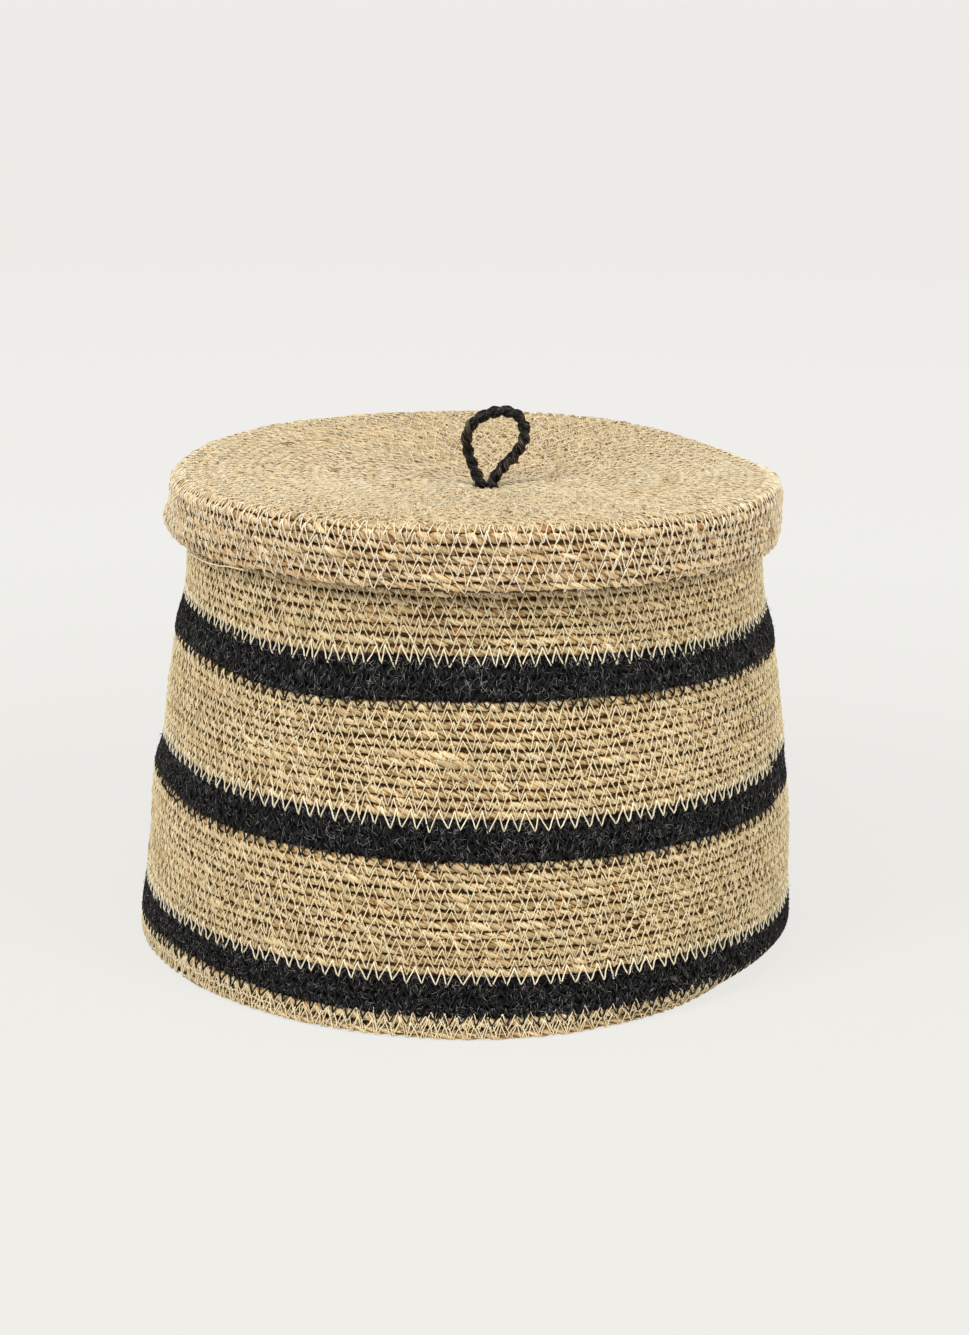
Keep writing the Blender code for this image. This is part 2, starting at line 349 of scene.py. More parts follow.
def lid_profile():
    """From the hole over the dish and the shoulder to the hem."""
    dish_radius = LID_RADIUS - SHOULDER_RADIUS
    shoulder_height = LID_TOP - SHOULDER_RADIUS
    bend = SHOULDER_RADIUS - LID_THICKNESS / 2
    dish = np.linspace(0.001, dish_radius, 300)
    turn = np.linspace(0.0, math.pi / 2, 24)[1:]
    fall = np.linspace(shoulder_height, HEM_HEIGHT, 40)[1:]
    curl = HEM_CURL * np.clip(1.0 - (fall - HEM_HEIGHT) / HEM_CURL_HEIGHT, 0.0, 1.0) ** 2
    radius = np.concatenate([dish, dish_radius + bend * np.sin(turn), dish_radius + bend - curl])
    over = shoulder_height + bend * np.cos(turn)
    height = np.concatenate([lid_surface(dish) - LID_THICKNESS / 2, over, fall])
    place = running(np.hypot(np.diff(radius), np.diff(height))) + radius[0]
    return Profile(place, radius, height, -1)


class Spiral:
    """Rows of rope along a profile, each one pitch further than the last.

    hand is 1 where they run clockwise, seen from above, and -1 where they don't. lengths lists
    (turns, pitch). The row at turn t lies between edge(t) and edge(t + 1). The last turn narrows
    to a tail, and so does the first where level_start is true.
    """

    SAMPLES_PER_TURN = 48

    def __init__(self, profile, start, lengths, zero_angle, shape, level_start=True, hand=1):
        self.profile, self.start, self.shape = profile, start, shape
        self.zero_angle, self.level_start, self.hand = zero_angle, level_start, hand
        self.side = profile.side * hand
        self.knots = running([turns for turns, _ in lengths])
        self.climbs = running([turns * pitch for turns, pitch in lengths])
        self.first_pitch = lengths[0][1]
        self.turns = self.knots[-1]
        count = int(self.turns * self.SAMPLES_PER_TURN) + 1
        self.turn_table = np.linspace(0.0, self.turns, count)
        radius, _ = profile.at(self.middle(self.turn_table), 0.0)
        steps = TAU * np.abs(radius[1:] + radius[:-1]) / 2 * np.diff(self.turn_table)
        self.length_table = running(steps)

    def climb(self, turn):
        ahead = np.interp(turn, self.knots, self.climbs)
        return np.where(turn < 0.0, turn * self.first_pitch, ahead)

    def edge(self, turn):
        """Place of the lower or inner edge of the row at this turn."""
        turn = np.asarray(turn, float)
        lead = TAIL_HEIGHT if self.level_start else 0.0
        place = self.start + lead + self.climb(turn - 1.0)
        if self.level_start:
            place = np.where(turn < 1.0, self.start + TAIL_HEIGHT * np.abs(turn) ** 3, place)
        end = self.start + lead + TAIL_HEIGHT + self.climb(self.turns - 1.0)
        left = np.clip(1.0 - (turn - self.turns), 0.0, 1.0)
        return np.where(turn > self.turns, end - TAIL_HEIGHT * left**3, place)

    def middle(self, turn):
        return (self.edge(turn) + self.edge(turn + 1.0)) / 2

    def half_width(self, turn):
        return (self.edge(turn + 1.0) - self.edge(turn)) / 2

    def clip(self, place):
        """Keeps places between the first and the last that a stitch may reach."""
        start = self.start if self.level_start else self.start - self.first_pitch
        end = float(self.edge(self.turns + 1.0))
        return np.clip(place, start + STITCH_MARGIN, end - STITCH_MARGIN)

    def length(self, turn):
        return np.interp(turn, self.turn_table, self.length_table)

    def turn(self, length):
        return np.interp(length, self.length_table, self.turn_table)

    def stations(self, first, last, step):
        """Lengths along the rope from one turn to another, this step apart."""
        start, end = self.length(first), self.length(last)
        return np.linspace(start, end, int((end - start) / step) + 1)

    def points(self, turn, place, out):
        """Points in space. place is along the profile, and out how far outwards they lie."""
        radius, height = self.profile.at(place, out)
        angle = self.zero_angle - self.hand * TAU * turn
        exact = np.stack([radius * np.cos(angle), radius * np.sin(angle), height], axis=-1)
        return self.shape(exact)

    def tube(self, turn, place, out):
        """The points of a tube's rings, one ring for each turn, and the middles of its two ends."""
        rings = self.points(turn[:, None], place, out)
        ends = self.points(turn[[0, -1]], self.middle(turn[[0, -1]]), 0.0)
        return np.concatenate([rings.reshape(-1, 3), ends])


def bump(angle, middle, width):
    """1 at the middle, falling to 0 over this width to each side, in degrees."""
    away = (np.degrees(angle) - middle + 180.0) % 360.0 - 180.0
    return np.exp(-((away / width) ** 2))


def hump(height, middle, width):
    """The same for a height."""
    return np.exp(-(((height - middle) / width) ** 2))


def spots(angle, height, places):
    """The sum of what each place of WALL_DENTS or ROW_BENDS adds here."""
    total = 0.0
    for amount, azimuth, width, middle, spread in places:
        total = total + amount * bump(angle, azimuth, width) * hump(height, middle, spread)
    return total


def basket_shape(points):
    """Warps points of the exact basket as the real one is warped."""
    x, y, z = np.moveaxis(points, -1, 0)
    radius = np.hypot(x, y)
    angle = np.arctan2(y, x)
    reach = np.minimum(radius / BODY_RADIUS, 1.0) ** 4
    low = np.maximum(0.0, 1.0 - z / 0.014)
    foot = 0.0018 * (1.0 - smooth(z / 0.035)) - 0.0040 * smooth((z - 0.158) / 0.020)
    left = 0.0015 * (1.0 - smooth(z / 0.030)) * bump(angle, -165, 40)
    tuck = -0.0165 * low**2 * bump(angle, -26, 21) - 0.0025 * low * bump(angle, -57, 16)
    spread = 0.0047 * low * bump(angle, -96, 35)
    oval = 0.0005 * np.sin(2 * angle + 9 * z) * z / LID_TOP + spots(angle, z, WALL_DENTS)
    swell = 1.0 + reach * (foot + left + tuck + spread + oval) / np.maximum(radius, 0.02)
    lean = 0.0023 * smooth(z / 0.15) - 0.0011 * smooth((z - 0.15) / 0.09)
    sag = -0.0028 * (z / LID_TOP * np.cos(angle)) ** 2
    rise = 0.0022 * smooth((z - 0.09) / 0.09)
    foot_rise = 0.0032 * smooth(z / 0.008) * (1.0 - smooth((z - 0.03) / 0.02))
    wave = 0.0006 * np.sin(3 * angle + 1.0 + 30 * z) * np.sin(40 * z)
    bend = sag + rise + foot_rise * bump(angle, -180, 10) + wave + spots(angle, z, ROW_BENDS)
    return np.stack([x * swell + lean, y * swell, np.maximum(z + reach * bend, 0.0002)], axis=-1)


def lid_shape(points):
    """The same for the lid."""
    x, y, z = np.moveaxis(points, -1, 0)
    radius = np.hypot(x, y)
    angle = np.arctan2(y, x)
    reach = np.minimum(radius / LID_RADIUS, 1.0) ** 2
    drift = (HANDLE_PLACE - LID_SHIFT) * (1.0 - reach)
    saddle = 0.0022 - 0.0028 * np.cos(angle) ** 2
    corner = -0.0040 * bump(angle, 22, 24)
    wave = 0.0004 * np.sin(5 * angle + 60 * z)
    lump = 0.0026 * bump(angle, -175, 6) * hump(z, 0.2135, 0.0075)
    slope = -0.0016 * bump(angle, 180, 24) * smooth((z - 0.216) / 0.012)
    flare = 0.0016 * bump(angle, -90, 55) * (1.0 - smooth((z - HEM_HEIGHT) / 0.008))
    swell = 1.0 + reach * (lump + slope + flare) / np.maximum(radius, 0.02)
    bend = reach * (saddle + corner + wave)
    return np.stack([x * swell + LID_SHIFT + drift, y * swell, z + bend], axis=-1)


# Meshes from arrays


def make_object(name, points, quads, triangles, look, maps):
    """An object with these faces. maps holds UV maps, one (u, v) for each corner of each quad."""
    mesh = bpy.data.meshes.new(name)
    mesh.vertices.add(len(points))
    mesh.vertices.foreach_set("co", np.ascontiguousarray(points, np.float32).ravel())
    loops = np.append(quads, triangles).astype(np.int32)
    mesh.loops.add(len(loops))
    mesh.loops.foreach_set("vertex_index", loops)
    starts = np.append(4 * np.arange(len(quads)), quads.size + 3 * np.arange(len(triangles)))
    mesh.polygons.add(len(starts))
    mesh.polygons.foreach_set("loop_start", starts.astype(np.int32))
    for title, corners in maps.items():
        uvs = np.zeros((len(loops), 2), np.float32)
        uvs[: quads.size] = corners.reshape(-1, 2)
        mesh.uv_layers.new(name=title).uv.foreach_set("vector", uvs.ravel())
    mesh.update(calc_edges=True)
    mesh.validate()
    mesh.shade_smooth()
    mesh.materials.append(look)
    return link(bpy.data.objects.new(name, mesh))


def add_values(made, name, values, ends=()):
    """Stores one number for each vertex, which the materials read. ends is for a tube's ends."""
    attribute = made.data.attributes.new(name, "FLOAT", "POINT")
    attribute.data.foreach_set("value", np.append(values, ends).astype(np.float32))


def sharpen_creases(made):
    """Marks the edges that run along the grooves between strands."""
    mesh = made.data
    ends = np.zeros(2 * len(mesh.edges), np.int32)
    mesh.edges.foreach_get("vertices", ends)
    side = ends.reshape(-1, 2) % ROPE_SIDES
    sharp = (side[:, 0] == side[:, 1]) & (side[:, 0] % CORNERS == 0)
    attribute = mesh.attributes.new("sharp_edge", "BOOLEAN", "EDGE")
    attribute.data.foreach_set("value", sharp)


def tube_faces(rings, sides):
    """Quads and end triangles of a closed tube. The middles of its ends are its last points."""
    row = np.arange(rings - 1)[:, None] * sides
    side = np.arange(sides)[None, :]
    ahead = (side + 1) % sides
    corners = [row + side, row + ahead, row + sides + ahead, row + sides + side]
    quads = np.stack(corners, axis=-1).reshape(-1, 4)
    side, ahead, foot = side[0], ahead[0], np.full(sides, rings * sides)
    start = np.stack([foot, ahead, side], axis=-1)
    end = np.stack([foot + 1, foot - sides + side, foot - sides + ahead], axis=-1)
    return quads, np.concatenate([start, end])


def quad_corners(u0, u1, v0, v1):
    """(u, v) for the four corners of each quad, in the order of tube_faces."""
    corners = [(u0, v0), (u0, v1), (u1, v1), (u1, v0)]
    rows = [np.stack(np.broadcast_arrays(u, v), axis=-1) for u, v in corners]
    return np.stack(rows, axis=-2)


def lay_map(lengths, around):
    """u runs along the strands and v round them, both in metres."""
    u0, u1 = lengths[:-1, None], lengths[1:, None]
    return quad_corners(u0, u1, around[None, :-1], around[None, 1:])


def strip_map(rows, sides, row_shape):
    """Lays a long tube in a square, as equal strips. row_shape is a row's height over its girth."""
    strips = int(math.sqrt(rows * row_shape)) + 1
    row = np.arange(rows)
    per_strip = -(-rows // strips)
    u0 = (row % per_strip / per_strip)[:, None]
    side = np.arange(sides)[None, :]
    v0 = ((row // per_strip)[:, None] + 0.95 * side / sides) / strips
    return quad_corners(u0, u0 + 1.0 / per_strip, v0, v0 + 0.95 / sides / strips)


def cell_map(paths, segments, sides):
    """Gives each of many short tubes its own cell, four times as long as wide, in one square."""
    columns = int(math.sqrt(paths / 4)) + 1
    rows = -(-paths // columns)
    path = np.arange(paths)[:, None, None]
    segment = np.arange(segments)[None, :, None]
    side = np.arange(sides)[None, None, :]
    u0 = (path % columns + 0.95 * segment / segments) / columns
    u1 = u0 + 0.95 / segments / columns
    v0 = (path // columns + 0.9 * side / sides) / rows
    v1 = v0 + 0.9 / sides / rows
    return quad_corners(u0, u1, v0, v1)


# Randomness


def wander(rng, lengths, wavelength):
    """Smooth random values from -1 to 1 along a rope."""
    place = (lengths - lengths[0]) / wavelength
    return eased(rng.uniform(-1.0, 1.0, int(place[-1]) + 3), place)


def eased(values, place, start=0.0):
    """Each value holds from its own place to this share of the way on, and eases to the next."""
    low = place.astype(int)
    share = smooth((place - low - start) / (1.0 - start))
    return values[low] * (1.0 - share) + values[low + 1] * share


def wander_sum(rng, lengths, swings):
    """The sum of smooth random values of several amounts and wavelengths."""
    return sum(amount * wander(rng, lengths, wavelength) for amount, wavelength in swings)


def leaves(rng, lengths, leaf_length):
    """Values from 0 to 1 that stay the same along each leaf and change where the next begins."""
    place = (lengths - lengths[0]) / leaf_length
    place = np.maximum(place + 0.35 * wander(rng, lengths, leaf_length * 1.7), 0.0)
    return eased(rng.uniform(0.0, 1.0, int(place.max()) + 3), place, 0.85)


def on_strands(draw, rng, lengths, wavelength):
    """Random values along the rope, drawn once for each strand."""
    return np.stack([draw(rng, lengths, wavelength) for _ in range(STRANDS)], axis=1)


# Rope


def rope(name, spiral, first, last, kind, seed):
    """A length of three-strand rope along the spiral, between two turns of it."""
    rng = np.random.default_rng(seed)
    lengths = spiral.stations(first, last, kind.step)
    lay = TAU * lengths / LAY_LENGTH + wander_sum(rng, lengths, LAY_SWINGS)
    angle = spiral.side * (lay[:, None] + SIDE_ANGLES[None, :])
    across, out = np.sin(angle), np.cos(angle)
    points = rope_points(rng, spiral, lengths, across, out, kind)
    girth = math.pi * kind.thickness
    around = np.append(SIDE_ANGLES, SIDE_ANGLES[0] + TAU) / TAU * girth
    maps = {"lay": lay_map(lengths, around)}
    maps["OFBake"] = strip_map(len(lengths) - 1, ROPE_SIDES, kind.step / girth)
    made = make_object(name, points, *tube_faces(len(lengths), ROPE_SIDES), kind.look, maps)
    shade_rope(made, rng, lengths, np.abs(across), kind)
    sharpen_creases(made)
    return made


def rope_points(rng, spiral, lengths, across, out, kind):
    """The rope's corners. across and out say where each stands in its ring, from -1 to 1."""
    size = 1.0 + 0.24 * kind.rough * on_strands(wander, rng, lengths, 0.0085)
    size = size * (1.0 + 0.06 * wander(rng, lengths, 0.045))[:, None]
    own = size[:, SIDE_STRANDS]
    before = size[:, (SIDE_STRANDS - 1) % STRANDS]
    on_crease = (np.arange(ROPE_SIDES) % CORNERS == 0)[None, :]
    swell = np.where(on_crease, (own + before) / 2, own)
    depth = kind.groove * (1.0 + 0.35 * wander(rng, lengths, 0.012))[:, None]
    depth = depth * (0.70 + 0.30 * across**2)
    shape = swell * (1.0 - depth * SIDE_DEPTHS[None, :])
    square = kind.squareness
    squeeze = (np.abs(across) ** square + np.abs(out) ** square) ** (-1.0 / square)
    turn = spiral.turn(lengths)
    half_width = spiral.half_width(turn)[:, None]
    slim = np.minimum(1.0, 0.45 + 0.55 * half_width / (NATURAL_PITCH / 2))
    drift = kind.rough * wander_sum(rng, lengths, ROW_DRIFTS)[:, None]
    lift = 0.00030 * kind.rough * wander(rng, lengths, 0.025)[:, None]
    overlap = kind.overlap + kind.rough * wander_sum(rng, lengths, OVERLAP_CHANGES)[:, None]
    middle = spiral.middle(turn)[:, None] + drift
    place = middle + overlap * half_width * squeeze * shape * across
    proud = lift + kind.thickness / 2 * slim * squeeze * shape * out
    return spiral.tube(turn, place, proud)


def shade_rope(made, rng, lengths, side, kind):
    """Stores what the look reads, with painted shade in grooves and seams. side is how near each
    corner lies to a seam, from 0 to 1.
    """
    tints = 0.5 + kind.tint_spread * (on_strands(leaves, rng, lengths, LEAF_LENGTH) - 0.5)
    tones = kind.tint_spread * on_strands(wander, rng, lengths, 0.010)
    flecks = on_strands(wander, rng, lengths, 0.012)
    for title, values, end in (("tint", tints, 0.5), ("tone", tones, 0.0), ("fleck", flecks, 0.0)):
        add_values(made, title, values[:, SIDE_STRANDS], (end, end))
    # Painted shade: dark along the seams between rows and in the grooves between strands
    seam = kind.seam_level + wander_sum(rng, lengths, SEAM_SHADE_CHANGES)
    seam = kind.seam_shade * np.clip(seam, 0.0, 1.2)[:, None]
    groove = kind.groove_shade * SIDE_DEPTHS[None, :] * (0.46 + 0.54 * side**2)
    painted_shade = groove + seam * smooth((side - 0.76) / 0.24)
    add_values(made, "painted_shade", np.minimum(painted_shade, 1.0), (1.0, 1.0))


def rope_core(name, spiral, first, last, kind, seed):
    """The inside of the rope, which shuts the gaps between its rows. Its dark colour is painted shade
    on natural rope, and the dye's own black on black rope.
    """
    rng = np.random.default_rng(seed)
    lengths = spiral.stations(first, last, CORE_STEP)
    turn = spiral.turn(lengths)
    across = spiral.side * np.array([-1, -1, 1, 1])
    out = np.array([-1, 1, 1, -1])
    half_width = spiral.half_width(turn)[:, None]
    slim = np.minimum(1.0, half_width / (NATURAL_PITCH / 2))
    place = spiral.clip(spiral.middle(turn)[:, None] + CORE_WIDTH_SHARE * half_width * across)
    points = spiral.tube(turn, place, CORE_THICKNESS_SHARE * kind.thickness / 2 * slim * out)
    maps = {"OFBake": strip_map(len(lengths) - 1, 4, CORE_STEP / (math.pi * kind.thickness))}
    made = make_object(name, points, *tube_faces(len(lengths), 4), kind.inside, maps)
    add_values(made, "tone", rng.uniform(0.0, 1.0, len(points)))
    return made


# Thread and fibres


def zigzag(name, spiral, first, last, thread, seed, face=1):
    """Zigzag stitches over the seam below each row. face is 1 outside and -1 inside."""
    rng = np.random.default_rng(seed)
    start, end = spiral.length(first), spiral.length(last)
    count = int((end - start) / STITCH_LENGTH) + 1
    hole = start + STITCH_LENGTH * np.arange(count)
    hole = hole + HOLE_SCATTER * rng.normal(size=count)
    hole_turn = spiral.turn(hole)
    sign = np.where(np.arange(count) % 2, 1.0, -1.0)
    pitch = np.minimum(2 * spiral.half_width(hole_turn), NATURAL_PITCH)
    full = 1.0 + 0.05 * wander(rng, hole, 0.3) + 0.12 * rng.normal(size=count)
    tip = sign * thread.reach * pitch * full + SEAM_SWAY * wander(rng, hole, 0.12)
    tip = spiral.clip(spiral.edge(hole_turn) + tip)
    share, dive = np.array(OUTSIDE_STITCH if face > 0 else INSIDE_STITCH)[:, None, :]
    along = hole[:-1, None] * (1 - share) + hole[1:, None] * share
    along = along + STITCH_BOW * rng.normal(size=(count - 1, 1)) * np.sin(math.pi * share)
    place = tip[:-1, None] * (1 - share) + tip[1:, None] * share
    offset = place - spiral.edge(spiral.turn(along))
    dip = STITCH_DIP * (0.5 + 0.5 * np.cos(TAU * offset / NATURAL_PITCH))
    proud = thread.proud if face > 0 else FLUSH
    out = face * (thread.seat / 2 + THREAD_RADIUS * proud - dip - dive)
    look, radius = thread.look, thread.radius
    return threads(name, spiral, along, place, out, look, rng, radius, 4 if face > 0 else 3, face)


def threads(name, spiral, along, place, out, look, rng, radius, sides=3, face=1):
    """Tubes through points given along the rope, across it and outwards, one for each row."""
    turn = spiral.turn(along)
    centre = spiral.points(turn, place, out)
    up = spiral.points(turn, place, out + face * 0.001) - centre
    paths, length = centre.shape[:2]
    tangent = unit(np.gradient(centre, axis=1))
    side = unit(np.cross(tangent, up))
    up = np.cross(side, tangent)
    angle = TAU * (np.arange(sides) + 0.5) / sides
    ring = np.cos(angle)[:, None] * up[:, :, None, :] + np.sin(angle)[:, None] * side[:, :, None, :]
    tubes = (centre[:, :, None, :] + radius * ring).reshape(paths, length * sides, 3)
    tubes = np.concatenate([tubes, centre[:, :1], centre[:, -1:]], axis=1)
    quads, triangles = tube_faces(length, sides)
    shift = (np.arange(paths) * tubes.shape[1])[:, None, None]
    faces = (quads[None] + shift).reshape(-1, 4), (triangles[None] + shift).reshape(-1, 3)
    maps = {"OFBake": cell_map(paths, length - 1, sides)}
    made = make_object(name, tubes.reshape(-1, 3), *faces, look, maps)
    add_values(made, "tone", np.repeat(rng.uniform(0.0, 1.0, paths), tubes.shape[1]))
    return made


def fibres(name, spiral, first, last, look, seed, count, size, radius, loose):
    """Short curved fibres that lie on the rope."""
    rng = np.random.default_rng(seed)
    along = rng.uniform(spiral.length(first), spiral.length(last), count)[:, None]
    turn = spiral.turn(along)
    across = spiral.middle(turn) + spiral.half_width(turn) * rng.uniform(-1, 1, (count, 1))
    share = np.linspace(0.0, 1.0, 5)[None, :]
    reach = size * rng.uniform(0.5, 1.3, (count, 1))
    heading = rng.choice([-1.0, 1.0], (count, 1)) * (TAU / 4 + 0.75 * rng.normal(size=(count, 1)))
    heading = heading + rng.uniform(-0.8, 0.8, (count, 1)) * share
    step = reach * share[:, 1]
    still = np.zeros((count, 1))
    ahead = np.concatenate([still, np.cumsum(np.cos(heading[:, 1:]) * step, 1)], 1)
    aside = np.concatenate([still, np.cumsum(np.sin(heading[:, 1:]) * step, 1)], 1)
    arch = rng.uniform(0.0001, 0.0005, (count, 1)) * np.sin(math.pi * share)
    free = (rng.uniform(0, 1, (count, 1)) < loose) * rng.uniform(0.3, 1.0, (count, 1))
    out = ROPE_THICKNESS / 2 - 0.0001 + arch + free * 0.7 * reach * share**1.5
    place = spiral.clip(across + aside)
    return threads(name, spiral, along + ahead, place, out, look, rng, radius)


def tuft(name, spiral, turn, heading, look, seed, count):
    """Loose ends that leave the rope's outside at one turn. heading is 1 ahead and -1 back."""
    rng = np.random.default_rng(seed)
    share = np.linspace(0.0, 1.0, 5)[None, :]
    reach = TUFT_SIZE * rng.uniform(0.4, 1.2, (count, 1))
    along = spiral.length(turn) + heading * (reach * share - 0.0012)
    aside = 0.7 * spiral.half_width(turn) * rng.uniform(-1, 1, (count, 1))
    place = spiral.middle(turn) + aside + 0.5 * reach * rng.normal(size=(count, 1)) * share
    rise = reach * rng.uniform(0.0, 0.8, (count, 1)) * share**1.5
    out = ROPE_THICKNESS / 2 * rng.uniform(0.3, 0.9, (count, 1)) + rise
    return threads(name, spiral, along, place, out, look, rng, TUFT_RADIUS)


def loose_loop(name, spiral, turn, look, seed):
    """A loop of thread that stands off the seam below the row at this turn."""
    rng = np.random.default_rng(seed)
    angle = np.linspace(0.0, 0.92 * TAU, 16)[None, :]
    climb = LOOSE_LOOP_SIZE * (1.0 - np.cos(angle))
    along = spiral.length(turn) + LOOSE_LOOP_SIZE * np.sin(angle) + 0.0004 * angle
    place = spiral.edge(turn) + climb * 0.5 - 0.0002 * angle
    out = ROPE_THICKNESS / 2 - 0.0003 + climb * 0.85
    return threads(name, spiral, along, place, out, look, rng, THREAD_RADIUS)


def hem_thread(lid, turns):
    """The end of the sewing thread, which hangs loose along the hem at the left."""
    rng = np.random.default_rng(LID_SEED + 30)
    along = lid.length(turns - 1.0) + np.linspace(*HEM_THREAD_SPAN, 60)
    wave = 0.0008 * wander(rng, along, 0.012)
    place = lid.edge(lid.turns + 1.0) - 0.0006 + wave
    out = LID_THICKNESS / 2 + 0.0004 + 0.6 * np.abs(wave)
    line = along[None], place[None], out[None]
    return threads("lid_loose_thread", lid, *line, STRAW_THREAD.look, rng, HEM_THREAD_RADIUS)


# Materials


def grey(level):
    return level, level, level


class Look:
    """The node tree of a material or world, with short ways to add nodes to it."""

    def __init__(self, owner, shader="Principled BSDF"):
        owner.use_nodes = True
        self.owner = owner
        self.nodes, self.links = owner.node_tree.nodes, owner.node_tree.links
        self.shader = self.nodes[shader]

    def feed(self, node, inputs):
        """Sets inputs of a node, by name or number, or joins sockets to them."""
        for name, value in inputs.items():
            if isinstance(value, bpy.types.NodeSocket):
                self.links.new(value, node.inputs[name])
            else:
                node.inputs[name].default_value = value

    def add(self, kind, inputs={}, **settings):
        made = self.nodes.new(kind)
        for name, value in settings.items():
            setattr(made, name, value)
        self.feed(made, inputs)
        return made

    def value(self, name):
        """A number stored on the vertices."""
        return self.add("ShaderNodeAttribute", attribute_name=name).outputs["Fac"]

    def scaled(self, socket, factor, offset):
        inputs = {0: socket, 1: factor, 2: offset}
        return self.add("ShaderNodeMath", inputs, operation="MULTIPLY_ADD").outputs[0]

    def ramp(self, factor, stops):
        """A colour ramp with (position, colour) stops."""
        made = self.add("ShaderNodeValToRGB", {"Fac": factor})
        elements = made.color_ramp.elements
        while len(elements) < len(stops):
            elements.new(1.0)
        for element, (position, colour) in zip(elements, stops):
            element.position = position
            element.color = (*colour, 1.0)
        return made.outputs["Color"]

    def mask(self, factor, start, end):
        """0 up to the start and 1 from the end on."""
        return self.ramp(factor, [(start, grey(0.0)), (end, grey(1.0))])

    def mix(self, factor, first, second, blend="MIX"):
        inputs = {0: factor, 6: first, 7: second}
        return self.add("ShaderNodeMix", inputs, data_type="RGBA", blend_type=blend).outputs[2]

    def multiply(self, colour, factor, stops):
        """A colour multiplied by a ramp."""
        return self.mix(1.0, colour, self.ramp(factor, stops), "MULTIPLY")

    def noise(self, place, scale, detail):
        inputs = {"Vector": place, "Scale": scale, "Detail": detail}
        return self.add("ShaderNodeTexNoise", inputs).outputs["Fac"]

    def streaks(self, along, around, detail=4.0):
        """Noise along the strands, with these numbers of waves in a metre."""
        uv = self.add("ShaderNodeUVMap", uv_map="lay").outputs["UV"]
        scaled = self.add("ShaderNodeMapping", {"Vector": uv, "Scale": (along, around, 1.0)})
        return self.noise(scaled.outputs["Vector"], 1.0, detail)

    def place(self):
        return self.add("ShaderNodeTexCoord").outputs["Object"]

    def finish(self, colour, roughness, height, depth, sheen=0.5):
        """Joins the colour, the roughness and a bump of this depth to the shader."""
        bumps = self.add("ShaderNodeBump", {"Height": height, "Distance": depth, "Strength": 1.0})
        values = {"Base Color": colour, "Roughness": roughness, "Normal": bumps.outputs["Normal"]}
        self.feed(self.shader, {**values, "Specular IOR Level": sheen})
        return self.owner

    def show_camera(self, share, shader, output):
        """Shows the camera this share of another shader than the one that lights the scene."""
        inputs = {0: share, 1: self.shader.outputs[0], 2: shader.outputs[0]}
        blend = self.add("ShaderNodeMixShader", inputs)
        self.feed(self.nodes[output], {"Surface": blend.outputs[0]})

    def from_camera(self):
        return self.add("ShaderNodeLightPath").outputs["Is Camera Ray"]


def new_look(name):
    return Look(bpy.data.materials.new(name))


def natural_look(name, shade=grey(1.0), slit_start=0.66, slit_width=0.05):
    """Dry seagrass. shade scales its red, green and blue, for lighter and darker copies that paint
    light and shade. Slits show where their noise is high.
    """
    look = new_look(name)
    leaf_tones = [
        (0.0, (0.56, 0.46, 0.28)),
        (0.2, (0.70, 0.58, 0.36)),
        (0.5, (0.76, 0.625, 0.385)),
        (0.8, (0.84, 0.735, 0.51)),
        (1.0, (0.64, 0.485, 0.265)),
    ]
    leaf_stops = [(place, tuple(np.multiply(tone, shade))) for place, tone in leaf_tones]
    colour = look.ramp(look.value("tint"), leaf_stops)
    rust = look.mask(look.value("fleck"), 0.88, 0.95)
    colour = look.mix(rust, colour, (0.46, 0.24, 0.07, 1.0))
    streaks = look.streaks(70, 1500)
    streak_stops = [(0.32, (0.60, 0.56, 0.50)), (0.58, (1.12, 1.10, 1.07))]
    colour = look.multiply(colour, streaks, streak_stops)
    slit_stops = [(slit_start, grey(1.0)), (slit_start + slit_width, (0.36, 0.21, 0.07))]
    colour = look.multiply(colour, look.streaks(190, 620, 1.0), slit_stops)
    lump = look.scaled(look.value("tone"), 0.5, 0.5)
    colour = look.multiply(colour, lump, [(0.0, (0.64, 0.58, 0.50)), (1.0, grey(1.14))])
    # Painted shade in the grooves and seams, from brown to near black
    painted_shade_stops = [
        (0.12, grey(1.0)),
        (0.38, (0.78, 0.62, 0.37)),
        (0.64, (0.35, 0.20, 0.06)),
        (0.86, (0.035, 0.016, 0.005)),
    ]
    colour = look.multiply(colour, look.value("painted_shade"), painted_shade_stops)
    return look.finish(colour, look.scaled(streaks, 0.3, 0.33), streaks, 0.0005)


def black_look():
    """Seagrass dyed black, dull, with grey along the ridges of its strands."""
    look = new_look("black_seagrass")
    strands = look.streaks(160, 2200)
    dyed = [(0.38, (0.002, 0.0022, 0.003)), (0.6, (0.012, 0.012, 0.014))]
    colour = look.ramp(strands, [*dyed, (0.72, (0.08, 0.081, 0.087))])
    return look.finish(colour, 0.9, strands, 0.0005, 0.05)


def thread_look(name, low, high, sheen=0.5):
    """Thread or fibres, each with its own tone between these two."""
    look = new_look(name)
    colour = look.ramp(look.value("tone"), [(0.0, low), (1.0, high)])
    return look.finish(colour, 0.7, look.noise(look.place(), 1500, 1.0), 0.0002, sheen)


def cord_look():
    """Black twisted cord with a dull sheen, painted sheen in grey along its ridges, and a few brown
    places, partly its own brown and partly painted highlight.
    """
    look = new_look("black_cord")
    ridges = look.streaks(110, 1000)
    # Painted sheen: grey along the ridges of the black
    black = look.ramp(ridges, [(0.50, grey(0.0005)), (0.64, (0.040, 0.038, 0.037))])
    # Brown places, partly the cord's own brown and partly painted highlight
    brown_and_highlight = look.ramp(ridges, [(0.47, grey(0.001)), (0.62, (0.190, 0.150, 0.112))])
    brown_and_highlight_mask = look.mask(look.noise(look.place(), 140, 2.0), 0.50, 0.58)
    return look.finish(look.mix(brown_and_highlight_mask, black, brown_and_highlight), 0.24, ridges, 0.0026, 0.35)


